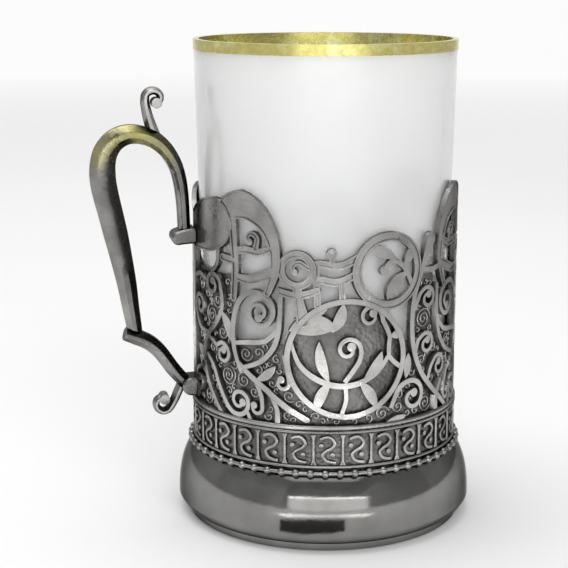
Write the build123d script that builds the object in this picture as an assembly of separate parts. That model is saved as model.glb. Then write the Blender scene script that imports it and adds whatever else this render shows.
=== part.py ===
from build123d import *
import os
from math import atan2, cos, hypot, radians, sin

# All sizes are in millimetres. The glass stands on the Z axis, the holder rests on Z = 0,
# the handle points to -X and the medallion looks to -Y. The back half mirrors the front half.

# Tea glass
glass_rim_radius = 33.0
glass_bottom_radius = 30.4
glass_height = 107.0
glass_wall = 1.3
glass_base = 5.0
glass_heel_round = 2.5
glass_inner_round = 5.0
gilt_height = 2.5
gilt_thickness = 0.12

# Fits
glass_clearance = 0.5
solder_gap = 0.05

# Heights of the holder, from the table up
floor_height = 14.5
foot_height = 18.2
band_top = 29.9
rail_height = 1.2
wall_top = 88.0

# Thicknesses of the holder
wall_thickness = 1.2
sleeve_thickness = 0.8
floor_thickness = 1.2
foot_thickness = 1.2

# Foot
foot_flare = 4.2
foot_widest = 4.4
foot_lip = 0.8
foot_tuck = 2.2
foot_ring_height = 1.8
foot_ring_width = 2.6
foot_ring_inset = 0.6

# Band with its frieze, wires and beads
frieze_units = 30
frieze_relief = 0.6
frieze_line = 0.66
frieze_dot = 0.55
bead_count = 60
bead_radius = 1.0
wire_radius = 0.4
rail_overhang = 0.4

# Ribbons of the openwork wall
wide = 2.2
middle = 1.8
fine = 1.4
ribbon_rim = 0.45
groove_depth = 0.25
least_piece = 2.0
# Plain scroll lines are narrower than the ribbons drawn for them, and have no groove
line_share = 0.72
# Radius at which the ornament is drawn out flat, and how finely a ribbon's sides are followed:
# two steps from point to point make one arc, and a flatter arc than the least bulge is a line
drawing_radius = 33.8
samples_per_span = 2
least_bulge = 0.002

# Sheet behind the lower scrolls: its lap inside the band, and its heights above the band
backing_thickness = 0.4
backing_lap = 4.0
backing_height = 20.5
backing_panel_height = 36.0

# Handle
bar_depth = 5.2
bar_rise = 1.5
ridge_share = 0.3
lug_bevel = 0.5
thumb_depth = 4.6
tail_depth = 4.2
lug_depth = 7.0
scroll_eye = 1.3
lug_stand_off = 2.9


def glass_radius(height):
    """Outer radius of the glass at a height above the table."""
    share = (height - floor_height) / glass_height
    return glass_bottom_radius + (glass_rim_radius - glass_bottom_radius) * share


# Values worked out from the sizes above
glass_top = floor_height + glass_height
wall_inner = glass_radius(wall_top) + glass_clearance
wall_outer = wall_inner + wall_thickness
groove_floor = wall_outer - groove_depth
sleeve_outer = wall_inner + sleeve_thickness
foot_radius = wall_outer + foot_flare
bead_height = foot_height + solder_gap + bead_radius
lower_wire_height = bead_height + bead_radius + solder_gap + wire_radius
upper_wire_height = band_top - solder_gap - wire_radius
frieze_bottom = lower_wire_height + wire_radius + solder_gap
frieze_top = upper_wire_height - wire_radius - solder_gap


class Ring:
    """A round hoop of ribbon."""

    def __init__(self, centre, radius, width):
        self.centre, self.radius, self.width = centre, radius, width

    def mirrored(self, about):
        return Ring((2 * about - self.centre[0], self.centre[1]), self.radius, self.width)

    def slimmed(self, share):
        return Ring(self.centre, self.radius, self.width * share)

    def face(self, place, grow=0.0):
        half = self.width / 2 + grow
        spot = Pos(*place(*self.centre))
        return spot * Circle(self.radius + half) - spot * Circle(self.radius - half)


class Disc:
    """A round boss without a groove."""

    def __init__(self, centre, radius):
        self.centre, self.radius = centre, radius

    def face(self, place, grow=0.0):
        return Pos(*place(*self.centre)) * Circle(self.radius + grow)


class Panel:
    """A plain field between two places along the wall and two heights."""

    def __init__(self, first, last, low, high):
        self.first, self.last, self.low, self.high = first, last, low, high

    def face(self, place):
        low = [place(self.first, self.low), place(self.last, self.low)]
        high = [place(self.last, self.high), place(self.first, self.high)]
        return make_face(Polyline(*low, *high, close=True))


class Leaf:
    """A pointed leaf between two arcs, bent to one side."""

    def __init__(self, base, heading, length, width, bend=0.0):
        self.base, self.heading, self.length = base, heading, length
        self.width, self.bend = width, bend

    def mirrored(self, about):
        base = (2 * about - self.base[0], self.base[1])
        return Leaf(base, 180 - self.heading, self.length, self.width, -self.bend)

    def slimmed(self, share):
        return self

    def face(self, place, grow=0.0):
        along, across = cos(radians(self.heading)), sin(radians(self.heading))
        reach = 2.0 * grow

        def spot(forward, aside):
            s = self.base[0] + forward * along - aside * across
            return place(s, self.base[1] + forward * across + aside * along)

        half = self.width / 2 + grow
        first = spot(-reach, 0)
        last = spot(self.length + reach, 0)
        upper = ThreePointArc(first, spot(self.length / 2, self.bend + half), last)
        lower = ThreePointArc(last, spot(self.length / 2, self.bend - half), first)
        return make_face([upper, lower])


def arcs(points):
    """A chain of arcs through every second point by way of the points between; flat ones are lines."""
    chain = []
    for k in range(0, len(points) - 2, 2):
        first, between, last = points[k:k + 3]
        wide_s, wide_h = last[0] - first[0], last[1] - first[1]
        lean = (between[0] - first[0]) * wide_h - (between[1] - first[1]) * wide_s
        bulge = abs(lean) / hypot(wide_s, wide_h)
        chain.append(ThreePointArc(first, between, last) if bulge > least_bulge else Line(first, last))
    return chain


class Vine:
    """A ribbon through points, each given as place along the wall, height and width."""

    def __init__(self, points, eye=0.0):
        self.points, self.eye = points, eye

    def mirrored(self, about):
        return Vine([(2 * about - s, h, w) for s, h, w in self.points], self.eye)

    def slimmed(self, share):
        return Vine([(s, h, w * share) for s, h, w in self.points], self.eye)

    def stations(self):
        """Place, height, width and direction along the ribbon, on a smooth line through its points."""
        points = self.points
        last = len(points) - 1
        pull = []
        for k in range(last + 1):
            before, after = points[max(k - 1, 0)], points[min(k + 1, last)]
            size = hypot(after[0] - before[0], after[1] - before[1])
            pull.append(((after[0] - before[0]) / size, (after[1] - before[1]) / size))
        found = []
        for k in range(last):
            (s0, h0, w0), (s1, h1, w1) = points[k], points[k + 1]
            chord = hypot(s1 - s0, h1 - h0)
            for i in range(samples_per_span + (k == last - 1)):
                t = i / samples_per_span
                a, b = (1 + 2 * t) * (1 - t) ** 2, t * (1 - t) ** 2 * chord
                c, d = t * t * (3 - 2 * t), t * t * (t - 1) * chord
                s = a * s0 + b * pull[k][0] + c * s1 + d * pull[k + 1][0]
                h = a * h0 + b * pull[k][1] + c * h1 + d * pull[k + 1][1]
                a, b = 6 * t * (t - 1), (3 * t - 1) * (t - 1) * chord
                c, d = -a, t * (3 * t - 2) * chord
                ds = a * s0 + b * pull[k][0] + c * s1 + d * pull[k + 1][0]
                dh = a * h0 + b * pull[k][1] + c * h1 + d * pull[k + 1][1]
                found.append((s, h, w0 + (w1 - w0) * t, atan2(dh, ds)))
        return found

    def face(self, place, grow=0.0):
        left, right = [], []
        for i, (s, h, w, angle) in enumerate(self.stations()):
            half = w / 2 + grow
            along, across = cos(angle), sin(angle)
            if i == 0:
                s, h = s - grow * along, h - grow * across
            left.append(place(s - half * across, h + half * along))
            right.append(place(s + half * across, h - half * along))
        tip = place(s + half * along, h + half * across)
        right.reverse()
        cap = ThreePointArc(left[-1], tip, right[0])
        shape = make_face(arcs(left) + [cap] + arcs(right) + [Line(right[-1], left[0])])
        if not self.eye:
            return shape
        boss = Pos(*place(s, h)) * Circle(self.eye + max(grow, 0.0))
        return shape + boss if grow >= 0 else shape - boss


def curl(centre, first_radius, last_radius, first_angle, sweep, width, last_width):
    """Points of a volute that winds from its first radius to its last one."""
    steps = max(2, round(abs(sweep) / 45))
    points = []
    for k in range(steps + 1):
        t = k / steps
        radius = first_radius * (last_radius / first_radius) ** t
        angle = radians(first_angle + sweep * t)
        s, h = centre[0] + radius * cos(angle), centre[1] + radius * sin(angle)
        points.append((s, h, width + (last_width - width) * t))
    return points


# Ornament of the front half, drawn flat. Each point has the place along the wall, measured from
# the front toward +X, then the height above the band, then the width of the ribbon there.

medallion = (-1.9, 17.6)
medallion_radius = 14.2
crest_ring = (8.6, 38.6)
crest_ring_radius = 8.3
small_ring = (-14.2, 39.2)
small_ring_radius = 3.8
lobe_mirror = 3.2
# Pieces made of grooved ribbon; the others are plain lines
grooved_pieces = ("crest_rings", "handle_wings", "handle_root_leaves", "rear_wings", "lobe_scrolls",
                  "small_crest_rings", "festoons")
# Where the sheet behind the scrolls is cut down, from side to side
backing_windows = [(-31.4, 16.0), (24.8, 37.8)]


def medallion_ring():
    return [Ring(medallion, medallion_radius, middle)]


def medallion_scrolls():
    crescent = [(-15.4, 21.5, 1.0), (-13.8, 16.8, 1.6), (-10.3, 13.4, 1.9), (-4.8, 11.2, 2.0),
                (0.8, 11.6, 1.9), (5.6, 14.2, 1.7), (8.2, 17.5, 1.5)]
    stem = [(-3.5, 3.4, fine), (-2.2, 7.5, fine), (-2.4, 11.0, fine)]
    right_stem = [(12.2, 14.6, 1.6), (8.6, 17.8, 1.6), (8.8, 22.5, 1.6), (7.0, 26.4, 1.6)]
    loop = curl((3.6, 27.8), 2.9, 1.1, 10, 400, fine, 1.0)
    heart = [(-2.6, 12.0, 1.6), (0.6, 16.4, 1.6)] + curl((-1.8, 20.0), 3.4, 1.1, -20, 420, 1.5, 1.1)
    return [
        Vine(crescent), Vine(stem), Vine(right_stem + loop, eye=1.0), Vine(heart, eye=1.1),
        Leaf((-16.0, 24.5), 4, 11.5, 5.0, 1.2), Leaf((-14.6, 27.4), 30, 10.0, 3.0, -0.8),
        Leaf((9.0, 22.6), 10, 4.2, 2.2), Leaf((-9.4, 4.6), 66, 8.2, 2.6, 0.6),
        Leaf((5.4, 5.0), 122, 8.2, 2.6, -0.6), Leaf((-6.2, 12.0), 104, 10.5, 2.6, 0.8),
        Leaf((2.0, 12.2), 56, 8.4, 2.6, -0.8), Leaf((-3.0, 31.4), -112, 7.6, 2.8, 0.7),
    ]


def crest_hoop():
    return [Ring(crest_ring, crest_ring_radius, wide)]


def crest_flower():
    stem = [(15.6, 33.4, 1.6), (13.4, 38.0, 1.8), (10.8, 40.6, 1.8), (8.4, 40.6, 1.6), (7.2, 38.8, fine)]
    return [
        Vine(stem, eye=1.2), Leaf((10.4, 41.0), 165, 9.6, 2.8, -1.2), Leaf((12.4, 39.4), 62, 7.0, 2.4, -0.5),
        Leaf((13.6, 38.0), -132, 8.6, 3.0, -0.8),
    ]


def small_crest():
    hook = [(-10.8, 39.6, 1.2)] + curl((-14.0, 39.4), 2.1, 1.0, 20, 200, 1.2, 1.0)
    trunk = [(-14.2, 35.9, 2.4), (-13.6, 32.0, 2.2), (-12.6, 27.0, 3.2)]
    arm = [(-18.9, 34.0, middle), (-14.0, 33.0, middle), (-9.4, 34.4, middle)]
    return [Ring(small_ring, small_ring_radius, middle), Vine(hook, eye=0.8), Vine(trunk), Vine(arm)]


def festoon():
    upper = [(-11.2, 40.2, 1.8), (-8.4, 40.9, 1.8), (-5.8, 40.4, 1.8), (-3.0, 40.6, 1.8), (1.4, 42.6, 2.2)]
    lower = [(-10.4, 36.8, 1.8), (-8.0, 37.0, 1.9), (-5.4, 36.4, 2.0), (-2.6, 37.0, 1.9), (0.8, 38.8, 1.8)]
    finial = [(-5.8, 40.0, 1.5), (-5.8, 42.0, 1.4), (-5.8, 43.2, 2.6)]
    link = [(-9.6, 41.0, 1.6), (-9.4, 36.0, 1.6), (-9.2, 31.0, 1.8)]
    prop = [(-3.6, 36.6, 1.6), (-3.2, 32.0, 1.6)]
    return [Vine(upper), Vine(lower), Vine(finial), Vine(link), Vine(prop)]


def lobe_scroll():
    outer = [(-22.0, 32.4, 1.6), (-19.8, 38.0, 2.4), (-19.8, 44.0, 2.8), (-21.6, 48.8, 3.6),
             (-25.0, 52.4, 5.6), (-29.2, 53.9, 7.0), (-33.0, 52.8, 6.4)]
    upright = [(-31.8, 51.0, 2.6), (-31.2, 44.0, wide), (-30.8, 38.0, wide), (-31.4, 31.0, 2.0)]
    shelf = [(-31.0, 42.4, 1.8), (-27.6, 43.2, 2.0), (-24.0, 42.8, 1.8), (-20.4, 44.2, 1.6)]
    sprig = [(-24.8, 43.0, 1.6), (-24.4, 45.0, fine)] + curl((-26.0, 45.9), 1.7, 0.8, 10, 230, 1.3, 1.0)
    lower = [(-31.2, 36.4, 1.8), (-26.6, 36.0, 2.4), (-20.0, 38.4, 2.8)]
    tie = [(-30.8, 40.0, 2.0), (-35.2, 40.4, 2.0)]
    return [Vine(outer), Vine(upright), Vine(shelf), Vine(sprig, eye=0.9), Vine(lower), Vine(tie)]


def large_volute():
    stem = [(-29.0, 12.6, fine), (-31.2, 18.0, 1.8), (-31.6, 24.0, 2.0), (-30.2, 29.4, 2.0),
            (-27.4, 32.4, 1.9)]
    spiral = curl((-23.9, 28.2), 4.8, 1.3, 90, -540, middle, 1.2)
    cradle = [(-31.0, 19.8, fine), (-26.4, 20.6, 1.7), (-22.0, 21.4, 1.7), (-18.6, 24.6, 1.5)]
    frame = [(-28.6, 14.0, fine), (-23.6, 16.0, 1.7), (-19.8, 20.2, 1.8), (-18.4, 26.0, 1.6),
             (-18.2, 33.2, 1.6)]
    return [Vine(stem + spiral, eye=1.1), Vine(cradle), Vine(frame)]


def lower_stem():
    path = [(-30.6, 15.6, fine), (-26.8, 12.6, 1.9), (-21.7, 9.2, 2.0), (-17.0, 5.6, 2.0), (-11.6, 2.6, 1.9)]
    hook = [(-17.2, 18.4, fine), (-16.4, 14.0, fine)] + curl((-17.7, 11.4), 1.8, 0.9, 0, -250, fine, 1.0)
    return [Vine(path), Vine(hook, eye=0.9), Leaf((-24.6, 11.4), 38, 6.6, 2.2, -0.5)]


def lower_volutes():
    first = [(-42.6, 15.0, fine), (-39.4, 12.6, 1.6), (-37.2, 8.6, 1.7), (-34.6, 4.6, 1.7)]
    first += curl((-29.8, 5.4), 3.9, 1.2, 235, 470, 1.7, 1.1)
    second = [(-25.0, 11.4, fine), (-23.2, 7.6, 1.6)] + curl((-24.6, 4.4), 1.9, 0.9, 30, -250, fine, 1.0)
    third = [(-21.0, 8.8, fine), (-19.0, 4.6, 1.6), (-19.0, 0.6, 1.8)]
    fourth = [(-26.0, 0.4, fine), (-27.0, 2.6, fine)]
    return [Vine(first, eye=1.0), Vine(second, eye=0.9), Vine(third), Vine(fourth)]


def side_stem():
    stem = [(-35.4, 0.4, 1.6), (-39.6, 5.0, 1.8), (-43.4, 11.2, 1.9), (-43.2, 18.0, 1.9), (-38.8, 22.8, 1.8),
            (-35.6, 27.6, 1.8), (-36.2, 33.0, 1.7)]
    tip = curl((-39.6, 32.8), 3.2, 1.1, 40, 400, 1.6, 1.1)
    rise = [(-39.8, 36.2, fine), (-37.4, 38.6, 1.6), (-37.0, 42.0, 1.8)]
    branch = [(-41.8, 19.6, fine), (-39.4, 18.8, 1.5)] + curl((-35.4, 16.2), 3.1, 1.1, 145, -430, 1.5, 1.1)
    leaves = [Leaf((-35.8, 27.0), -62, 9.0, 2.8, 0.6), Leaf((-43.6, 14.4), 160, 4.6, 2.4)]
    return [Vine(stem + tip, eye=1.0), Vine(rise), Vine(branch, eye=1.0)] + leaves


def side_branches():
    upper = [(-41.4, 20.4, fine), (-46.2, 20.8, 1.6)] + curl((-46.6, 26.4), 3.9, 1.1, 230, -440, 1.6, 1.1)
    lower = [(-42.8, 9.6, fine), (-45.6, 10.8, 1.6)] + curl((-47.6, 6.6), 3.8, 1.1, 80, 420, 1.5, 1.1)
    edge = [(-52.0, 8.6, 1.6), (-50.6, 17.0, 1.6), (-51.6, 24.0, 1.6), (-51.0, 31.0, 1.6),
            (-51.4, 41.0, 1.8)]
    tie = [(-51.2, 32.8, 1.5), (-46.6, 34.6, 1.6), (-42.6, 33.6, 1.5)]
    return [Vine(upper, eye=1.0), Vine(lower, eye=1.0), Vine(edge), Vine(tie)]


def flank_stem():
    stem = [(31.4, 0.4, 1.6), (25.6, 5.2, 1.8), (19.6, 11.0, 1.9), (16.2, 18.0, 1.9), (15.4, 26.0, 1.9),
            (16.4, 33.0, 2.0), (19.0, 39.0, 2.2), (21.6, 45.0, 4.6)]
    upper = [(16.0, 28.0, fine), (17.6, 31.4, 1.6)] + curl((20.8, 30.4), 3.2, 1.1, 150, -440, 1.5, 1.1)
    lower = [(16.4, 16.6, fine), (17.4, 20.2, 1.6)] + curl((20.6, 19.0), 3.2, 1.1, 150, -440, 1.5, 1.1)
    lowest = [(21.2, 9.6, fine), (22.4, 12.6, 1.5)] + curl((26.2, 12.4), 3.3, 1.1, 160, -430, 1.5, 1.1)
    tie = [(18.6, 38.0, 1.6), (22.6, 37.4, 1.8), (27.0, 38.6, 1.8)]
    curls = [Vine(upper, eye=1.0), Vine(lower, eye=1.0), Vine(lowest, eye=1.0)]
    return [Vine(stem), Vine(tie)] + curls


def corner_volute():
    stem = [(9.4, 4.6, 1.6), (10.6, 7.4, 1.7)] + curl((15.8, 6.4), 5.0, 1.2, 140, -440, 1.8, 1.2)
    leaves = [Leaf((8.0, 1.0), 12, 6.0, 2.2, -0.3), Leaf((13.6, 11.4), 84, 6.4, 2.2, -0.2)]
    return [Vine(stem, eye=1.1)] + leaves


def handle_wing():
    return [Vine([(-53.0, 44.4, 9.0), (-48.4, 46.0, 11.2), (-42.6, 47.4, 13.2), (-38.6, 48.4, 12.6)])]


def rear_wing():
    return [Vine([(53.0, 45.8, 9.0), (49.0, 47.4, 11.0), (45.6, 48.6, 11.0)])]


def handle_root():
    return [Vine([(-53.1, 0.4, 4.4), (-53.1, 5.0, 4.0), (-53.1, 9.6, 2.2)])]


def rear_stem():
    trunk = [(52.2, 0.4, 1.7), (52.0, 14.0, 1.7), (51.6, 26.0, 1.7), (51.8, 42.0, 1.7)]
    lower = [(51.8, 18.6, fine), (50.4, 22.6, 1.5)] + curl((47.6, 27.2), 3.3, 1.1, -40, 420, 1.5, 1.1)
    upper = [(51.6, 32.0, fine), (50.8, 34.6, fine)] + curl((47.4, 37.2), 2.7, 1.1, -10, 320, fine, 1.1)
    return [Vine(trunk), Vine(lower, eye=1.0), Vine(upper, eye=1.0), Leaf((51.8, 3.0), 112, 7.4, 2.4, 0.6)]


def ornament():
    """Every ribbon piece of the front half as node name, shapes and middle place, frames first."""
    def right(shapes):
        return [shape.mirrored(lobe_mirror) for shape in shapes]

    def across(place):
        return 2 * lobe_mirror - place

    return [
        ("medallion_rings", medallion_ring(), medallion[0]),
        ("crest_rings", crest_hoop(), crest_ring[0]),
        ("handle_wings", handle_wing(), -45.0),
        ("handle_root_leaves", handle_root(), -51.0),
        ("rear_wings", rear_wing(), 48.0),
        ("lobe_scrolls", lobe_scroll(), -26.0),
        ("lobe_scrolls", right(lobe_scroll()), across(-26.0)),
        ("small_crest_rings", small_crest(), small_ring[0]),
        ("festoons", festoon(), -5.0),
        ("large_volutes", large_volute(), -25.0),
        ("large_volutes", right(large_volute()), across(-25.0)),
        ("medallion_scrolls", medallion_scrolls(), medallion[0]),
        ("crest_flowers", crest_flower(), crest_ring[0]),
        ("lower_stems", lower_stem(), -21.0),
        ("flank_stems", flank_stem(), 20.0),
        ("rear_stems", rear_stem(), 50.0),
        ("lower_volutes", lower_volutes(), -30.0),
        ("lower_volutes", right(lower_volutes()), across(-30.0)),
        ("side_stems", side_stem(), -40.0),
        ("side_stems", right(side_stem()), across(-40.0)),
        ("side_branches", side_branches(), -47.0),
        ("corner_volutes", corner_volute(), 13.0),
    ]


def prism(faces, centre):
    """Faces drawn on the plane before the wall at that place, driven straight through the wall."""
    angle = centre / drawing_radius
    outward = Vector(sin(angle), -cos(angle), 0)
    around = Vector(cos(angle), sin(angle), 0)
    plane = Plane(origin=outward * (wall_inner / 2), x_dir=around, z_dir=outward)
    flat = faces[0] + faces[1:] if len(faces) > 1 else faces[0]
    return extrude(plane * flat, amount=wall_outer - wall_inner / 2 + 1, dir=outward)


def tube(inner, outer, bottom, top):
    """A plain ring of sheet metal."""
    low = (Align.CENTER, Align.CENTER, Align.MIN)
    ring = Cylinder(outer, top - bottom, align=low) - Cylinder(inner, top - bottom, align=low)
    return Pos(0, 0, bottom) * ring


def near(first, second):
    """Whether the boxes round two shapes meet."""
    a, b = first.bounding_box(), second.bounding_box()
    in_x = a.min.X < b.max.X and b.min.X < a.max.X
    in_y = a.min.Y < b.max.Y and b.min.Y < a.max.Y
    return in_x and in_y and a.min.Z < b.max.Z and b.min.Z < a.max.Z


def on_wall(centre):
    """How a place of the flat drawing lies on the plane before the wall at that place."""
    def place(s, h):
        return (wall_outer * sin((s - centre) / drawing_radius), band_top + h)
    return place


def backing_nodes():
    """Thin sheet inside the wall that carries the lower scrolls, cut down round the medallion."""
    outer = wall_inner - solder_gap
    inner = outer - backing_thickness
    backing = tube(inner, outer, band_top - backing_lap, band_top + backing_panel_height)
    disc = prism([Disc(medallion, medallion_radius).face(on_wall(medallion[0]))], medallion[0])
    for first, last in backing_windows:
        centre = (first + last) / 2
        window = prism([Panel(first, last, backing_height, wall_top).face(on_wall(centre))], centre) - disc
        backing = backing - window - mirror(window, Plane.XZ)
    return {"wall_backing": backing}


def wall_nodes():
    """The openwork wall: each ribbon piece is cut back to the pieces before it, then mirrored."""
    bottom = band_top + rail_height + 2 * solder_gap
    sheet = tube(wall_inner, wall_outer, bottom, wall_top + 2)
    over_groove = tube(groove_floor, wall_outer + 1, bottom, wall_top + 2)
    reach = 4 * wall_outer
    front = Pos(0, -solder_gap, 0) * Box(reach, reach, reach, align=(Align.CENTER, Align.MAX, Align.MIN))
    nodes, taken = {}, []
    for name, shapes, centre in ornament():
        place = on_wall(centre)
        grooved = name in grooved_pieces
        if not grooved:
            shapes = [shape.slimmed(line_share) for shape in shapes]
        body = prism([shape.face(place) for shape in shapes], centre) & sheet & front
        for other in taken:
            if near(body, other):
                body -= other
        taken.append(prism([shape.face(place, solder_gap) for shape in shapes], centre))
        if grooved:
            body -= prism([shape.face(place, -ribbon_rim) for shape in shapes], centre) & over_groove
        solids = [solid for solid in body.solids() if solid.volume > least_piece]
        nodes.setdefault(name, []).extend(solids + [mirror(solid, Plane.XZ) for solid in solids])
    return nodes


def around_axis(solid, count):
    """Equal copies round the holder's axis."""
    return [Rot(0, 0, 360 / count * k) * solid for k in range(count)]


def frieze_nodes():
    """Raised columns, scrolls and dots on the band, one of each kind for every unit."""
    ground = sleeve_outer + solder_gap
    field = tube(ground, ground + frieze_relief, frieze_bottom, frieze_top)
    tall = frieze_top - frieze_bottom

    def place(s, h):
        return (s, frieze_bottom + h)

    def relief(shapes):
        return (prism([shape.face(place) for shape in shapes], 0.0) & field).solids()[0]

    shaft = [(-0.05, 3.0), (0.16, 1.0), (0.84, 1.0), (1.05, 3.0)]
    column = Vine([(-2.9, share * tall, frieze_line * stretch) for share, stretch in shaft])
    wave = [(2.5, 0.09), (0.4, 0.14), (-0.7, 0.36), (1.0, 0.52), (2.3, 0.70), (0.8, 0.91), (-1.0, 0.86)]
    scroll = Vine([(s, share * tall, frieze_line) for s, share in wave])
    low_dot = relief([Disc((1.7, 0.34 * tall), frieze_dot)])
    high_dot = relief([Disc((-1.0, 0.64 * tall), frieze_dot)])
    return {
        "frieze_columns": around_axis(relief([column]), frieze_units),
        "frieze_scrolls": around_axis(relief([scroll]), frieze_units),
        "frieze_dots": around_axis(low_dot, frieze_units) + around_axis(high_dot, frieze_units),
    }


def band_nodes():
    """Sleeve, wires, beads and rail of the band below the openwork."""
    wire = Torus(sleeve_outer + solder_gap + wire_radius, wire_radius)
    bead_circle = sleeve_outer + solder_gap + bead_radius
    bead = Pos(bead_circle, 0, bead_height) * Sphere(bead_radius)
    core = Pos(0, 0, bead_height) * Torus(bead_circle, bead_radius / 2)
    rail_bottom = band_top + solder_gap
    rail = tube(wall_inner, wall_outer + rail_overhang, rail_bottom, rail_bottom + rail_height)
    rail_edges = rail.edges().filter_by(lambda edge: edge.length > 6.2 * wall_outer)
    return {
        "band_sleeve": tube(wall_inner, sleeve_outer, floor_height - floor_thickness, band_top),
        "beaded_wire": core + around_axis(bead, bead_count),
        "lower_wire": Pos(0, 0, lower_wire_height) * wire,
        "upper_wire": Pos(0, 0, upper_wire_height) * wire,
        "wall_rail": fillet(rail_edges, rail_overhang),
    }


def foot_nodes():
    """Hollow flared foot, the ring it stands on and the floor that carries the glass."""
    top_inner = sleeve_outer + solder_gap
    low = foot_ring_height + solder_gap
    edge = foot_radius - foot_tuck
    ring_outer = edge - foot_ring_inset
    waist_height = (foot_widest + foot_height) / 2
    waist = foot_radius - foot_flare * 0.2
    flare = Spline((top_inner + foot_lip, foot_height), (foot_radius, foot_widest),
                   tangents=((0.9, -1.0), (0.0, -1.0)))
    below = (foot_radius - 0.3 * foot_tuck, (foot_widest + low) / 2)
    turn = ThreePointArc((foot_radius, foot_widest), below, (edge, low))
    inside = Polyline(
        (edge, low), (edge - foot_thickness, low), (foot_radius - foot_thickness, foot_widest),
        (waist - foot_thickness - solder_gap, waist_height), (top_inner, foot_height - foot_thickness),
        (top_inner, foot_height), (top_inner + foot_lip, foot_height))
    shell = revolve(Plane.XZ * make_face([flare, turn, inside]), Axis.Z)
    return {
        "foot_shell": shell,
        "foot_ring": tube(ring_outer - foot_ring_width, ring_outer, 0, foot_ring_height),
        "floor_disc": Pos(0, 0, floor_height - floor_thickness / 2) * Cylinder(
            wall_inner - solder_gap, floor_thickness),
    }


def glass_nodes():
    """Plain, slightly conical tumbler with a thick bottom, and the gilding on its rim."""
    pit_height = floor_height + glass_base
    pit_radius = glass_radius(pit_height) - glass_wall
    outline = Polyline(
        (0, floor_height), (glass_bottom_radius, floor_height), (glass_rim_radius, glass_top),
        (glass_rim_radius - glass_wall, glass_top), (pit_radius, pit_height), (0, pit_height), close=True)
    tumbler = revolve(Plane.XZ * make_face(outline), Axis.Z)
    heel = tumbler.edges().filter_by_position(Axis.Z, floor_height - 0.01, floor_height + 0.01)
    tumbler = fillet(heel.filter_by(GeomType.CIRCLE), glass_heel_round)
    pit = tumbler.edges().filter_by_position(Axis.Z, pit_height - 0.01, pit_height + 0.01)
    tumbler = fillet(pit.filter_by(GeomType.CIRCLE), glass_inner_round)
    low = glass_top - gilt_height
    layer = Polyline(
        (glass_radius(low), low), (glass_radius(low) + gilt_thickness, low),
        (glass_rim_radius + gilt_thickness, glass_top + gilt_thickness),
        (glass_rim_radius - glass_wall, glass_top + gilt_thickness),
        (glass_rim_radius - glass_wall, glass_top), (glass_rim_radius, glass_top), close=True)
    return {"tea_glass_tumbler": tumbler, "gilt_rim_band": revolve(Plane.XZ * make_face(layer), Axis.Z)}


def handle_nodes():
    """Ear-shaped handle: lugs on the wall, ridged bow and lower arm, thumb rest and tail scroll."""
    wall = Cylinder(wall_outer + solder_gap, 4 * wall_top)
    root = wall_outer - 2.0
    lower_lug_height = band_top + rail_height + lug_stand_off

    def place(r, z):
        return (-r, z)

    def bar(vine, depth, grow=0.0):
        return extrude(Plane.XZ * vine.face(place, grow), amount=depth / 2, both=True)

    def capped(vine, depth, rise, top):
        side = depth / 2 - rise
        cap = loft([Plane.XZ.offset(side) * vine.face(place), Plane.XZ.offset(depth / 2) * top], ruled=True)
        return bar(vine, 2 * side) + cap + mirror(cap, Plane.XZ)

    def bevelled(vine, depth):
        return capped(vine, depth, lug_bevel, vine.face(place, -lug_bevel))

    def ridged(vine, depth):
        return capped(vine, depth, bar_rise, vine.slimmed(ridge_share).face(place))

    def boss(vine, depth):
        r, z = vine.stations()[-1][:2]
        return Pos(-r, 0, z) * Rot(90, 0, 0) * Cylinder(scroll_eye, depth)

    bow = Vine([
        (36.2, 73.0, 3.0), (36.4, 79.0, 3.0), (36.8, 84.4, 3.2), (37.8, 89.5, 3.4), (39.8, 93.6, 3.8),
        (42.6, 96.6, 4.2), (45.9, 98.2, 4.4), (49.8, 98.6, 4.8), (53.4, 97.0, 5.4), (55.7, 93.6, 6.0),
        (56.3, 89.0, 6.4), (55.9, 85.0, 6.4), (54.8, 80.0, 6.2), (53.4, 73.7, 6.0), (52.1, 67.3, 5.4),
        (50.9, 60.8, 4.8), (50.1, 55.0, 4.2), (49.4, 50.4, 3.8), (49.1, 48.0, 3.6)])
    arm = Vine([
        (51.8, 48.2, 3.2), (48.6, 47.0, 3.8), (45.7, 45.6, 3.8), (42.9, 43.0, 3.7), (40.4, 39.4, 3.6),
        (37.9, 36.2, 3.4), (35.2, lower_lug_height - 0.4, 3.2)])
    upper_lug = Vine([(root, 73.2, 3.8), (36.0, 73.0, 3.8), (38.0, 72.6, 3.4)])
    lower_lug = Vine([(root, lower_lug_height, 5.0), (35.2, lower_lug_height, 4.6)])
    thumb = Vine([(43.0, 97.0, 3.4), (44.4, 101.4, 2.7), (45.3, 105.2, 2.3)]
                 + curl((43.1, 107.3), 2.4, 1.1, 20, 230, 2.0, 1.6))
    tail = Vine([(37.2, 35.0, 2.2), (38.6, 31.8, 2.2), (40.6, 28.0, 2.0)]
                + curl((42.4, 29.6), 2.4, 1.1, 270, 200, 1.8, 1.6))
    all_through = 4 * lug_depth
    upper_block = bevelled(upper_lug, lug_depth) - wall
    lower_block = bevelled(lower_lug, lug_depth) - wall
    over_upper = bar(upper_lug, all_through, solder_gap)
    over_lower = bar(lower_lug, all_through, solder_gap)
    over_arm = bar(arm, all_through, solder_gap)
    over_bow = bar(bow, all_through, solder_gap)
    return {
        "handle_upper_lug": upper_block,
        "handle_lower_lug": lower_block,
        "handle_lower_arm": ridged(arm, bar_depth) - over_lower - wall,
        "handle_bow": ridged(bow, bar_depth) - over_upper - over_arm - wall,
        "thumb_rest": ridged(thumb, thumb_depth) + boss(thumb, thumb_depth) - over_bow,
        "tail_scroll": ridged(tail, tail_depth) + boss(tail, tail_depth) - over_arm - over_lower - wall,
    }


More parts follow.
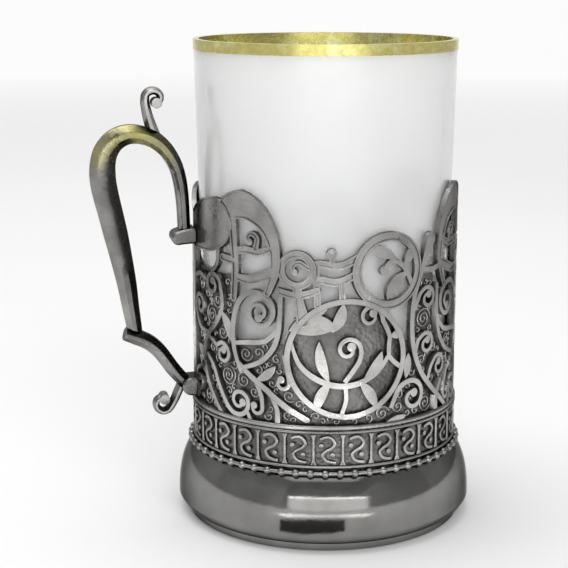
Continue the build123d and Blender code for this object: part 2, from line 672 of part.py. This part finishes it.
def main():
    os.makedirs("parts", exist_ok=True)
    nodes = {}
    makers = (glass_nodes, foot_nodes, band_nodes, frieze_nodes, backing_nodes, handle_nodes, wall_nodes)
    for make in makers:
        nodes.update(make())
    for name, shape in nodes.items():
        if isinstance(shape, list):
            shape = Compound(children=shape)
        export_step(shape, "parts/" + name + ".step")


if __name__ == "__main__":
    main()
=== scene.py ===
import math

import bpy
import numpy as np
from mathutils import Matrix, Vector
from mathutils.bvhtree import BVHTree


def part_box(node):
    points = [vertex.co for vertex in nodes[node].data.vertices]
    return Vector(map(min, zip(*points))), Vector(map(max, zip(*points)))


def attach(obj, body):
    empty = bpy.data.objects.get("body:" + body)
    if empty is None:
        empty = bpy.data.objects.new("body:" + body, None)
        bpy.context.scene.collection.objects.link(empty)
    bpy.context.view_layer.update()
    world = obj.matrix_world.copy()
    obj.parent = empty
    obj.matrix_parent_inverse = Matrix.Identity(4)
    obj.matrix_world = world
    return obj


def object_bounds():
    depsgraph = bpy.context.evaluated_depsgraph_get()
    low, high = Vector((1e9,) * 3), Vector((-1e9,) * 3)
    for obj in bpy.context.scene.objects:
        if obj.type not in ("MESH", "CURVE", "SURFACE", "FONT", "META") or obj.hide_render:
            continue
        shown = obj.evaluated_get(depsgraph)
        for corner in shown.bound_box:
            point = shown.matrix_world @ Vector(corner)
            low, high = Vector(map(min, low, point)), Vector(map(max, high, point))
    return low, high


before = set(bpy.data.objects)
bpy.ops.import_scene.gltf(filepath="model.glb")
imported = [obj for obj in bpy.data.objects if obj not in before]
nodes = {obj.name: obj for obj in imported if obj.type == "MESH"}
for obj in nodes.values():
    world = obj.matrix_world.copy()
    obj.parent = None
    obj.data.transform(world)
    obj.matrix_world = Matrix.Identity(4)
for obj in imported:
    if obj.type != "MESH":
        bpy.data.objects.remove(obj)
cad_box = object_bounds()

# Pieces that share a look or an edge; the lines of the wall are all that no other list names
LUGS = ["handle_upper_lug", "handle_lower_lug"]
HANDLE_ENDS = ["thumb_rest", "tail_scroll"]
HANDLE = LUGS + ["handle_lower_arm", "handle_bow"] + HANDLE_ENDS
FOOT = ["foot_shell", "foot_ring"]
FRIEZE = ["frieze_columns", "frieze_scrolls", "frieze_dots"]
BAND = FRIEZE + ["beaded_wire", "lower_wire", "upper_wire", "wall_rail", "floor_disc"]
GLASS = ["tea_glass_tumbler", "gilt_rim_band"]
SHEETS = ["wall_backing", "band_sleeve"]
RIBBONS = ["crest_rings", "handle_wings", "handle_root_leaves", "rear_wings", "lobe_scrolls",
           "small_crest_rings", "festoons"]
LINES = [name for name in nodes if name not in HANDLE + FOOT + BAND + GLASS + SHEETS + RIBBONS]

# Heights between which a look changes, in metres
wall_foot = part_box("wall_rail")[1].z
UPPER_WALL = (wall_foot + 0.01885, wall_foot + 0.03085)
crown_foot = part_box("handle_bow")[1].z - 0.012
CROWN_GILDING = (crown_foot, crown_foot + 0.008)
rim_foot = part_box("gilt_rim_band")[0].z - 0.0012
RIM_GILDING = (rim_foot, rim_foot + 0.0002)

# Colours
BRIGHT, DULL = (0.56, 0.555, 0.54), (0.37, 0.365, 0.356)
UPPER, DULL_UPPER = (0.36, 0.355, 0.345), (0.25, 0.247, 0.24)
GROUND, DULL_GROUND = (0.20, 0.198, 0.192), (0.12, 0.118, 0.114)
RELIEF, DULL_RELIEF = (0.46, 0.455, 0.44), (0.29, 0.286, 0.28)
POLISHED, DULL_POLISHED = (0.27, 0.268, 0.26), (0.22, 0.218, 0.21)
RUBBED, DULL_RUBBED = (0.34, 0.335, 0.325), (0.21, 0.207, 0.20)
# Dark is both the patina in hollows and the painted shade on a handle's side toward the glass
DARK = (0.035, 0.033, 0.031)
WHITE = (1.0, 1.0, 1.0)
EDGE_TINT = (0.3, 0.3, 0.3)
WORN_GILDING = (0.62, 0.58, 0.22)
GOLD = [(0.3, (0.70, 0.63, 0.24)), (0.5, (0.57, 0.52, 0.17)), (0.72, (0.84, 0.82, 0.47))]
CLEAR = [(0.3, (0.985, 0.99, 0.99)), (0.7, (0.997, 1.0, 0.998))]
PAPER = [(0.3, (0.88, 0.88, 0.88)), (0.7, (0.91, 0.91, 0.91))]

# Noise and punch marks: how many cells they have in a metre, and how many finer layers lie on the noise
STAIN_NOISE = (120.0, 5.0)
PATCH_NOISE = (140.0, 4.0)
GRIME_NOISE = (900.0, 3.0)
POLISH_NOISE = (420.0, 4.0)
GRAIN_NOISE = (1500.0, 4.0)
GOLD_NOISE = (160.0, 4.0)
GOLD_POLISH_NOISE = (600.0, 3.0)
GOLD_GRAIN_NOISE = (900.0, 2.0)
CLEAR_NOISE = (30.0, 3.0)
PAPER_NOISE = (3.0, 3.0)
CLOTH_NOISE = (2.0, 3.0)
NOISE_ROUGHNESS = 0.55
PUNCH_MARKS = 1150.0

# Levels: a value's low and high, and the first and last value that are made of them
STAINS = (0.36, 0.66, 0.0, 1.0)
PATCHES = (0.34, 0.54, 0.55, 1.0)
RAGGED = (0.25, 0.6, 0.55, 1.0)
# Painted shade on a handle: from faces turned away from the glass to faces turned toward it, and how dark
# that makes them
PAINTED_SIDE_SHADE = (-0.45, 0.30, 0.0, 0.9)
INSIDE = (-0.01, 0.01, 1.0, 0.0)
GOLD_POLISH = (0.3, 0.7, 0.16, 0.34)

# Roughness: the low and high of the noise that spreads it, and what grime adds
POLISH_SPREAD = (0.3, 0.7)
GRIME_ROUGHNESS = 0.25

# Bumps: strength, and depth in metres
GRAIN = (0.18, 0.0002)
FOOT_GRAIN = (0.06, 0.0002)
GOLD_GRAIN = (0.08, 0.0002)
STIPPLE = (0.55, 0.0004)


# Materials

class Tree:
    """A node tree under construction: makes nodes and joins them with few words."""

    def __init__(self, tree):
        self.tree = tree

    def make(self, kind, sockets=None, **properties):
        node = self.tree.nodes.new(kind)
        for key, value in properties.items():
            setattr(node, key, value)
        self.feed(node, sockets or {})
        return node

    def feed(self, node, sockets):
        """Joins outputs to a node's sockets, and writes plain numbers and colours into them."""
        for key, value in sockets.items():
            socket = node.inputs[key]
            if isinstance(value, bpy.types.NodeSocket):
                self.tree.links.new(value, socket)
            elif isinstance(value, tuple):
                socket.default_value = (*value, 1.0)
            else:
                socket.default_value = value

    def maths(self, how, first, second):
        return self.make("ShaderNodeMath", {0: first, 1: second}, operation=how).outputs[0]

    def choose(self, share, first, second):
        """Goes from one shader to another."""
        sockets = {0: share, 1: first.outputs[0], 2: second.outputs[0]}
        return self.make("ShaderNodeMixShader", sockets).outputs[0]

    def background_rays(self):
        """Is 1 for the rays that show the background: from the camera, off metal and through glass."""
        path = self.make("ShaderNodeLightPath").outputs
        seen = self.maths("MAXIMUM", path["Is Camera Ray"], path["Is Glossy Ray"])
        return self.maths("MAXIMUM", seen, path["Is Transmission Ray"])


class Shader(Tree):
    """A material under construction."""

    def __init__(self, name):
        self.material = bpy.data.materials.new(name)
        self.material.use_nodes = True
        super().__init__(self.material.node_tree)
        self.main = self.tree.nodes["Principled BSDF"]
        coordinates = self.make("ShaderNodeTexCoord").outputs
        self.place, self.normal = coordinates["Object"], coordinates["Normal"]

    def show(self, shader):
        self.feed(self.tree.nodes["Material Output"], {"Surface": shader})

    def noise(self, cells, layers):
        sockets = {"Vector": self.place, "Scale": cells, "Detail": layers, "Roughness": NOISE_ROUGHNESS}
        return self.make("ShaderNodeTexNoise", sockets).outputs["Fac"]

    def ramp(self, value, stops):
        """Gives the colours along a value, each at its stop."""
        node = self.make("ShaderNodeValToRGB", {"Fac": value})
        elements = node.color_ramp.elements
        while len(elements) < len(stops):
            elements.new(0.5)
        for element, (place, colour) in zip(elements, stops):
            element.position = place
            element.color = (*colour, 1.0)
        return node.outputs["Color"]

    def levels(self, value, low, high, first=0.0, last=1.0):
        """Goes from first to last while the value goes from low to high."""
        sockets = {"Value": value, "From Min": low, "From Max": high, "To Min": first, "To Max": last}
        return self.make("ShaderNodeMapRange", sockets).outputs["Result"]

    def mix(self, share, first, second):
        """Goes from one colour to another. The node's inputs 6 and 7 and its output 2 are its colours."""
        return self.make("ShaderNodeMix", {0: share, 6: first, 7: second}, data_type="RGBA").outputs[2]

    def along(self, vector, axis):
        return self.make("ShaderNodeSeparateXYZ", {0: vector}).outputs[axis]

    def height(self, low, high):
        """Goes from 0 to 1 between two heights."""
        return self.levels(self.along(self.place, "Z"), low, high)

    def inside(self):
        """Goes from 0 to 1 between faces that look outward and faces that look toward the axis."""
        sockets = {0: self.place, 1: self.normal}
        outward = self.make("ShaderNodeVectorMath", sockets, operation="DOT_PRODUCT")
        return self.levels(outward.outputs["Value"], *INSIDE)

    def openness(self, reach):
        """Goes from 0 to 1 with the light that other surfaces within reach let through."""
        return self.make("ShaderNodeAmbientOcclusion", {"Distance": reach}, samples=12).outputs["AO"]

    def bump(self, height, strength, depth):
        node = self.make("ShaderNodeBump", {"Height": height, "Strength": strength, "Distance": depth})
        self.feed(self.main, {"Normal": node.outputs["Normal"]})


def silver(name, bright, dull, reach, closed, rough, upper=None, inside=None, gilt=None, hand=False,
           stipple=False, grain=GRAIN):
    """Old silver: bright where it is rubbed, dull in broad stains, and dark where other surfaces within
    reach, in metres, close it in. Closed gives the openness at which it is quite dark and the one at which
    it is clean, and rough gives the least and the most roughness. Upper colours, if given, take over in the
    upper part of the wall, and inside colours lie on the side toward the glass. Worn gilding, if given, sets
    in between two heights. On a handle (hand), painted shade darkens the faces that turn toward the glass,
    while its outside keeps its colour. A stippled ground is covered with small punch marks."""
    shader = Shader(name)
    stains = shader.levels(shader.noise(*STAIN_NOISE), *STAINS)
    metal = shader.mix(stains, bright, dull)
    if inside:
        metal = shader.mix(shader.inside(), metal, shader.mix(stains, *inside))
    if upper:
        metal = shader.mix(shader.height(*UPPER_WALL), metal, shader.mix(stains, *upper))
    if gilt:
        patches = shader.levels(shader.noise(*PATCH_NOISE), *PATCHES)
        share = shader.maths("MULTIPLY", shader.height(*gilt), patches)
        metal = shader.mix(share, metal, WORN_GILDING)
    # Painted shade: on a handle, the faces that turn toward the glass are darkened
    if hand:
        shade = shader.levels(shader.along(shader.normal, "X"), *PAINTED_SIDE_SHADE)
        metal = shader.mix(shade, metal, DARK)
    recesses = shader.levels(shader.openness(reach), *closed, first=1.0, last=0.0)
    ragged = shader.levels(shader.noise(*GRIME_NOISE), *RAGGED)
    grime = shader.maths("MULTIPLY", recesses, ragged)
    polish = shader.levels(shader.noise(*POLISH_NOISE), *POLISH_SPREAD, *rough)
    shader.feed(shader.main, {
        "Base Color": shader.mix(grime, metal, DARK),
        "Metallic": 1.0,
        "Roughness": shader.maths("ADD", polish, shader.maths("MULTIPLY", grime, GRIME_ROUGHNESS)),
        "Specular Tint": EDGE_TINT,
    })
    if stipple:
        sockets = {"Vector": shader.place, "Scale": PUNCH_MARKS}
        marks = shader.make("ShaderNodeTexVoronoi", sockets, feature="SMOOTH_F1")
        shader.bump(marks.outputs["Distance"], *STIPPLE)
    else:
        shader.bump(shader.noise(*GRAIN_NOISE), *grain)
    return shader.material


def gilding(shader, main):
    """Fired gold, rubbed thin in places."""
    shader.feed(main, {
        "Base Color": shader.ramp(shader.noise(*GOLD_NOISE), GOLD),
        "Metallic": 1.0,
        "Roughness": shader.levels(shader.noise(*GOLD_POLISH_NOISE), *GOLD_POLISH),
    })


def gold(name):
    shader = Shader(name)
    gilding(shader, shader.main)
    shader.bump(shader.noise(*GOLD_GRAIN_NOISE), *GOLD_GRAIN)
    return shader.material


def satin_glass(name, gilt):
    """Glass with a satin finish: light comes through, but what stands behind it is blurred away. Inside,
    gilding sets in between two heights."""
    shader = Shader(name)
    shader.feed(shader.main, {
        "Base Color": shader.ramp(shader.noise(*CLEAR_NOISE), CLEAR),
        "Transmission Weight": 0.68,
        "IOR": 1.5,
        "Roughness": 0.27,
        "Coat Weight": 0.7,
        "Coat Roughness": 0.06,
    })
    gilt_side = shader.make("ShaderNodeBsdfPrincipled")
    gilding(shader, gilt_side)
    share = shader.maths("MULTIPLY", shader.inside(), shader.height(*gilt))
    shader.show(shader.choose(share, shader.main, gilt_side))
    return shader.material


def dress():
    """Gives each CAD piece its material."""
    wall = silver("wall_silver", BRIGHT, DULL, reach=0.0022, closed=(0.15, 0.85), rough=(0.20, 0.38),
                  upper=(UPPER, DULL_UPPER))
    ground = silver("ground_silver", GROUND, DULL_GROUND, reach=0.0022, closed=(0.15, 0.85),
                    rough=(0.30, 0.48), inside=(BRIGHT, DULL), stipple=True)
    relief = silver("frieze_silver", RELIEF, DULL_RELIEF, reach=0.0016, closed=(0.20, 0.92),
                    rough=(0.22, 0.38))
    polished = silver("foot_silver", POLISHED, DULL_POLISHED, reach=0.0020, closed=(0.10, 0.60),
                      rough=(0.07, 0.13), grain=FOOT_GRAIN)
    # The handle pieces carry painted shade on their side toward the glass
    rubbed = silver("handle_silver", RUBBED, DULL_RUBBED, reach=0.0018, closed=(0.10, 0.80),
                    rough=(0.18, 0.32), hand=True)
    crown = silver("gilt_silver", RUBBED, DULL_RUBBED, reach=0.0018, closed=(0.10, 0.80),
                   rough=(0.18, 0.32), gilt=CROWN_GILDING, hand=True)
    looks = (
        (LINES + RIBBONS, wall),
        (SHEETS, ground),
        (BAND + HANDLE_ENDS, relief),
        (FOOT, polished),
        (LUGS + ["handle_lower_arm"], rubbed),
        (["handle_bow"], crown),
        (["gilt_rim_band"], gold("fired_gold")),
        (["tea_glass_tumbler"], satin_glass("tea_glass", RIM_GILDING)),
    )
    for names, material in looks:
        for name in names:
            mesh = nodes[name].data
            mesh.materials.clear()
            mesh.materials.append(material)


# Fine filling: lengths in metres, the eye as a share of a curl's size, the lift as one of the wire's radius

GRID = 0.0004
CURL_SIZES = (0.0030, 0.0026, 0.0022, 0.0018, 0.0014, 0.0011)
CURL_PITCH = 0.0013
CURL_EYE = 0.08
CURL_POINTS = 28
WIRE_RADIUS = 0.00022
WIRE_LIFT = 0.7
WIRE_SIDES = 6
GOLDEN_TURN = math.pi * (3.0 - math.sqrt(5.0))


def surface(names):
    """The faces of CAD pieces, to be met by rays."""
    points, faces = [], []
    for name in names:
        mesh = nodes[name].data
        faces += [[len(points) + corner for corner in face.vertices] for face in mesh.polygons]
        points += [point.co.copy() for point in mesh.vertices]
    return BVHTree.FromPolygons(points, faces)


def free_ground(radius, bottom, top):
    """Finds where the sheet behind the scrolls shows, on a grid round the axis and up the wall. The medallion
    doesn't count."""
    scrolls = surface(LINES + RIBBONS + LUGS)
    sheet = surface(["wall_backing"])
    low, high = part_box("medallion_rings")
    medallion = (low.xz + high.xz) / 2
    medallion_radius = (high.z - low.z) / 2
    columns, rows = int(math.tau * radius / GRID), int((top - bottom) / GRID)
    depth = cad_box[1].y - radius
    reach = depth + WIRE_RADIUS
    free = np.zeros((columns, rows), bool)
    for column in range(columns):
        angle = math.tau * column / columns
        outward = Vector((math.cos(angle), math.sin(angle), 0.0))
        for row in range(rows):
            place = outward * radius + Vector((0.0, 0.0, bottom + GRID * row))
            start = place + outward * depth
            beside = (place.xz - medallion).length > medallion_radius
            if beside and sheet.ray_cast(start, -outward, reach)[0]:
                free[column, row] = not scrolls.ray_cast(start, -outward, reach)[0]
    return free


def round_places(free, bottom):
    """Fills the free ground with round places, the largest first. Gives each place's angle about the axis,
    its height and its size."""
    columns, rows = free.shape
    places = []
    for size in CURL_SIZES:
        reach = int(size / GRID)
        span = range(-reach, reach + 1)
        disc = np.array([(a, b) for a in span for b in span if a * a + b * b <= reach * reach])
        for column, row in np.argwhere(free[:, reach:rows - reach]):
            cells = (column + disc[:, 0]) % columns, row + reach + disc[:, 1]
            if free[cells].all():
                free[cells] = False
                places.append((math.tau * column / columns, bottom + GRID * (row + reach), size))
    return places


def spiral(size, first, hand):
    """The flat middle line of a curl, from its eye outward."""
    line = []
    for share in np.linspace(0.0, 1.0, CURL_POINTS):
        turn = first + hand * share * math.tau * size / CURL_PITCH
        reach = (size - WIRE_RADIUS) * (CURL_EYE + (1.0 - CURL_EYE) * share)
        line.append(Vector((reach * math.cos(turn), reach * math.sin(turn))))
    return line


def wire_points(line, radius, angle, height):
    """Rings of points round a flat line that is bent round the sheet, one ring after the other."""
    points = []
    for k, place in enumerate(line):
        along = (line[min(k + 1, CURL_POINTS - 1)] - line[max(k - 1, 0)]).normalized()
        for corner in range(WIRE_SIDES):
            tilt = math.tau * corner / WIRE_SIDES
            across = place.x - along.y * WIRE_RADIUS * math.cos(tilt)
            up = place.y + along.x * WIRE_RADIUS * math.cos(tilt)
            out = radius + WIRE_RADIUS * (WIRE_LIFT + math.sin(tilt))
            bearing = angle + across / radius
            points.append((out * math.cos(bearing), out * math.sin(bearing), height + up))
    return points


def wire_faces(start):
    """The faces of a closed wire whose points begin at that number."""
    rings = [range(start + k * WIRE_SIDES, start + (k + 1) * WIRE_SIDES) for k in range(CURL_POINTS)]
    faces = []
    for one, two in zip(rings, rings[1:]):
        faces += [(one[c - 1], one[c], two[c], two[c - 1]) for c in range(WIRE_SIDES)]
    return faces + [tuple(reversed(rings[0])), tuple(rings[-1])]


def wire_curls():
    """Small spirals of wire on the sheet, in the gaps between the lower scrolls."""
    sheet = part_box("wall_backing")[1]
    radius = sheet.x
    free = free_ground(radius, wall_foot, sheet.z)
    points, faces = [], []
    for number, (angle, height, size) in enumerate(round_places(free, wall_foot)):
        line = spiral(size, number * GOLDEN_TURN, 1 if number % 2 else -1)
        faces += wire_faces(len(points))
        points += wire_points(line, radius, angle, height)
    mesh = bpy.data.meshes.new("fine_curls")
    mesh.from_pydata(points, [], faces)
    mesh.shade_smooth()
    fine = silver("fine_silver", BRIGHT, DULL, reach=0.0005, closed=(0.10, 0.70), rough=(0.22, 0.38))
    mesh.materials.append(fine)
    made = bpy.data.objects.new("fine_curls", mesh)
    bpy.context.scene.collection.objects.link(made)
    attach(made, "holder")


# Soft edges: width in metres, and number of steps

BAR_EDGE = (0.0004, 3)
RIBBON_EDGE = (0.00018, 2)
FRIEZE_EDGE = (0.00022, 2)


def soften(names, width, segments):
    """Rounds the sharp edges of CAD pieces, as casting and wear leave them."""
    for name in names:
        piece = nodes[name]
        weld = piece.modifiers.new("weld", "WELD")
        weld.merge_threshold = 2e-6
        bevel = piece.modifiers.new("bevel", "BEVEL")
        bevel.width = width
        bevel.segments = segments
        bevel.limit_method = "ANGLE"
        bevel.angle_limit = math.radians(40)
        bevel.use_clamp_overlap = True
        bevel.miter_outer = "MITER_ARC"
        normals = piece.modifiers.new("normals", "WEIGHTED_NORMAL")
        normals.weight = 60
        normals.keep_sharp = False


# Camera as fitted to the photograph, with its place in metres

CAMERA_TURN = Matrix.Rotation(math.radians(-13.0), 3, "Z")
CAMERA_PITCH = math.radians(12.21)
CAMERA_YAW = math.radians(1.6)
CAMERA_PLACE = Vector((0.0, -0.37085, 0.13895))
FOCAL_PIXELS = 1466.24
PHOTO_PIXELS = 568
SENSOR_MILLIMETRES = 36.0
NEAREST = 0.01


def camera():
    flat = math.cos(CAMERA_PITCH)
    ahead = Vector((-math.sin(CAMERA_YAW) * flat, math.cos(CAMERA_YAW) * flat, -math.sin(CAMERA_PITCH)))
    forward = CAMERA_TURN @ ahead
    right = CAMERA_TURN @ Vector((math.cos(CAMERA_YAW), math.sin(CAMERA_YAW), 0.0))
    up = right.cross(forward)
    data = bpy.data.cameras.new("photo_camera")
    data.sensor_width = SENSOR_MILLIMETRES
    data.lens = FOCAL_PIXELS / PHOTO_PIXELS * SENSOR_MILLIMETRES
    data.clip_start = NEAREST
    eye = bpy.data.objects.new("photo_camera", data)
    axes = Matrix((right, up, -forward)).transposed()
    eye.matrix_world = Matrix.Translation(CAMERA_TURN @ CAMERA_PLACE) @ axes.to_4x4()
    bpy.context.scene.collection.objects.link(eye)
    bpy.context.scene.camera = eye


# Stage and light in metres and watts, with places turned to the camera's side

BACKGROUND = 0.97
ROOM_LIGHT = 0.62
FLOOR_REACH = 12.0
FLOOR_LEVEL = -0.0002
FLOOR_TO_WHITE = (0.4, 1.6)
SOFTBOX = (0.085, -0.85, 0.14)
SOFTBOX_WIDTH, SOFTBOX_HEIGHT = 1.0, 0.26
# Each lamp's name, place, aim in the object's frame, width, height, power, and whether the metal mirrors it
LAMPS = (
    ("softbox_front", SOFTBOX, (0.085, 0.0, 0.01), SOFTBOX_WIDTH, SOFTBOX_HEIGHT, 1.1, True),
    ("softbox_top", (-0.25, 0.1, 1.1), (0.0, 0.0, 0.05), 0.9, 0.9, 5.5, True),
    ("fill", (0.35, -1.3, 0.9), (0.0, 0.0, 0.08), 1.2, 0.9, 9.0, False),
)
# Each curtain's name, its angle in degrees from the camera's side, and how pale it is
CURTAINS = (
    ("curtain_far_left", -120, 0.42),
    ("curtain_left", -60, 0.42),
    ("curtain_front", 0, 0.34),
    ("curtain_right", 60, 0.32),
    ("curtain_far_right", 120, 0.32),
)
CURTAIN_SPREAD = 30
CURTAIN_RADIUS = 1.62
CURTAIN_BOTTOM, CURTAIN_TOP = 0.02, 1.9
CARD_HEIGHT = 0.0008
DARK_PATCH = ((-0.018, -0.048), (0.010, -0.053), (0.021, -0.089), (-0.011, -0.092), (-0.032, -0.071))
BOW_MIDDLE = (0.0045, -0.083)
BOW_RADII = (0.043, 0.066)
BOW_ANGLES = range(-75, 76, 15)
EDGE_GAP, EDGE_HEIGHT = 0.002, 0.025
# How pale the other three cards are, how much paler a cloth is in places, and how strongly two cards glow
DARK_CARD, LIGHT_CARD = 0.03, 0.8
PALER = 1.25
BOW_GLOW, EDGE_GLOW = 4.0, 6.0


def card(name, points, faces, material):
    """A flat card of the studio."""
    mesh = bpy.data.meshes.new(name)
    mesh.from_pydata([tuple(point) for point in points], [], faces)
    mesh.materials.append(material)
    made = bpy.data.objects.new(name, mesh)
    bpy.context.scene.collection.objects.link(made)
    return made


def reflected(name, level, points, faces=None, glow=0.0):
    """A cloth that shows only in what is shiny, and that may glow. Unless faces are given, it is one face."""
    cloth = Shader(name)
    shades = [(0.3, (level, level, level)), (0.7, (PALER * level, PALER * level, PALER * level))]
    cloth.feed(cloth.main, {
        "Base Color": cloth.ramp(cloth.noise(*CLOTH_NOISE), shades),
        "Roughness": 0.9,
        "Emission Color": WHITE,
        "Emission Strength": glow,
    })
    turned = [CAMERA_TURN @ Vector(point) for point in points]
    made = card(name, turned, faces or [tuple(range(len(points)))], cloth.material)
    for flag in ("visible_camera", "visible_diffuse", "visible_transmission", "visible_shadow"):
        setattr(made, flag, False)


def around(angle, radius, z, middle=(0.0, 0.0)):
    """A point at an angle in degrees from the camera's side."""
    turn = math.radians(angle)
    return (middle[0] + radius * math.sin(turn), middle[1] - radius * math.cos(turn), z)


def curtains():
    """Grey cloths round the object."""
    for name, angle, level in CURTAINS:
        left, right = angle - CURTAIN_SPREAD, angle + CURTAIN_SPREAD
        sides = ((left, CURTAIN_BOTTOM), (right, CURTAIN_BOTTOM), (right, CURTAIN_TOP), (left, CURTAIN_TOP))
        reflected(name, level, [around(side, CURTAIN_RADIUS, z) for side, z in sides])


def foot_reflections():
    """What the polished foot shows: a dark patch and a light bow near it, and the bright edge of the front
    softbox."""
    reflected("dark_patch", DARK_CARD, [(x, y, CARD_HEIGHT) for x, y in DARK_PATCH])
    bow = [around(angle, radius, CARD_HEIGHT, BOW_MIDDLE) for angle in BOW_ANGLES for radius in BOW_RADII]
    strips = [(k, k + 2, k + 3, k + 1) for k in range(0, len(bow) - 2, 2)]
    reflected("light_bow", LIGHT_CARD, bow, strips, BOW_GLOW)
    x, y, z = SOFTBOX
    left, right = x - SOFTBOX_WIDTH / 2, x + SOFTBOX_WIDTH / 2
    low = z + SOFTBOX_HEIGHT / 2 + EDGE_GAP
    high = low + EDGE_HEIGHT
    edge = [(left, y, low), (right, y, low), (right, y, high), (left, y, high)]
    reflected("softbox_edge", LIGHT_CARD, edge, glow=EDGE_GLOW)


def lamp(name, place, aim, width, height, watts, mirrored):
    data = bpy.data.lights.new(name, "AREA")
    data.shape = "RECTANGLE"
    data.size, data.size_y = width, height
    data.energy = watts
    light = bpy.data.objects.new(name, data)
    light.location = CAMERA_TURN @ Vector(place)
    light.rotation_euler = (Vector(aim) - light.location).to_track_quat("-Z", "Y").to_euler()
    light.visible_glossy = mirrored
    bpy.context.scene.collection.objects.link(light)


def pale_floor():
    """Pale paper, which takes the object's shadow and goes over into the white background far from it."""
    paper = Shader("pale_paper")
    shades = paper.ramp(paper.noise(*PAPER_NOISE), PAPER)
    paper.feed(paper.main, {"Base Color": shades, "Roughness": 0.8})
    away = paper.make("ShaderNodeVectorMath", {0: paper.place}, operation="LENGTH")
    far = paper.levels(away.outputs["Value"], *FLOOR_TO_WHITE)
    white = paper.make("ShaderNodeEmission", {"Strength": BACKGROUND})
    share = paper.maths("MULTIPLY", far, paper.background_rays())
    paper.show(paper.choose(share, paper.main, white))
    signs = ((-1, -1), (1, -1), (1, 1), (-1, 1))
    corners = [(x * FLOOR_REACH, y * FLOOR_REACH, FLOOR_LEVEL) for x, y in signs]
    card("floor", corners, [(0, 1, 2, 3)], paper.material)


def room():
    """Plain even light, with a white background."""
    world = bpy.data.worlds.new("studio")
    bpy.context.scene.world = world
    world.use_nodes = True
    world.node_tree.nodes.clear()
    sky = Tree(world.node_tree)
    even = sky.make("ShaderNodeBackground", {"Color": WHITE, "Strength": ROOM_LIGHT})
    white = sky.make("ShaderNodeBackground", {"Color": WHITE, "Strength": BACKGROUND})
    shown = sky.choose(sky.background_rays(), even, white)
    sky.make("ShaderNodeOutputWorld", {"Surface": shown})


dress()
wire_curls()
soften(LINES + HANDLE, *BAR_EDGE)
soften(RIBBONS, *RIBBON_EDGE)
soften(FRIEZE, *FRIEZE_EDGE)
camera()
pale_floor()
room()
curtains()
foot_reflections()
for values in LAMPS:
    lamp(*values)
bpy.context.scene.view_settings.view_transform = "Standard"
